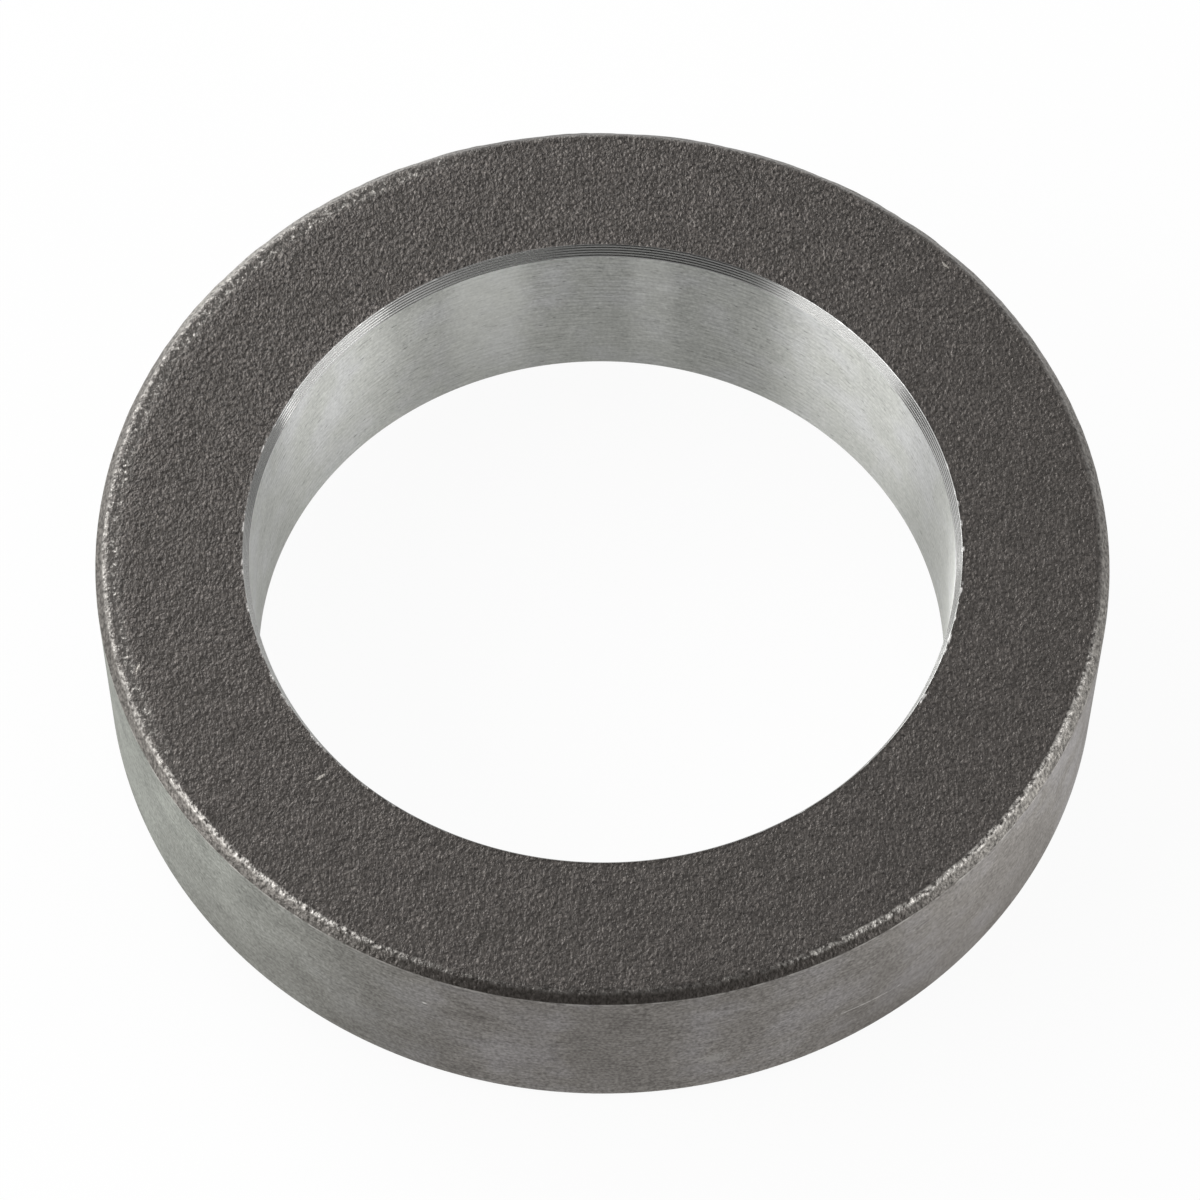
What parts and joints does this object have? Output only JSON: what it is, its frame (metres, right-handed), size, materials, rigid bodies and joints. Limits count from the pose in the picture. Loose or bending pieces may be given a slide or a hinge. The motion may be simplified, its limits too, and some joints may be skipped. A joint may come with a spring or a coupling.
{
  "type": "bearing retainer ring",
  "caption": "Press-on steel ring that retains a bearing on its shaft, with a turned bore, lead-in and rim and rough as-forged end faces.",
  "frame": {"origin": "centre of the lower end face, on the ring's axis; the ring lies flat on that face", "axes": "+Z along the ring's axis, from the lower end face towards the upper one, where the bore has its lead-in; the ring is round about +Z, so X and Y are free"},
  "size_m": [0.05, 0.05, 0.0109],
  "materials": {
    "forged_steel": "end faces as forged and shot-blasted, rim and bore turned bright"
  },
  "bodies": {
    "root": {"retainer_ring": "forged_steel"}
  },
  "joints": []
}
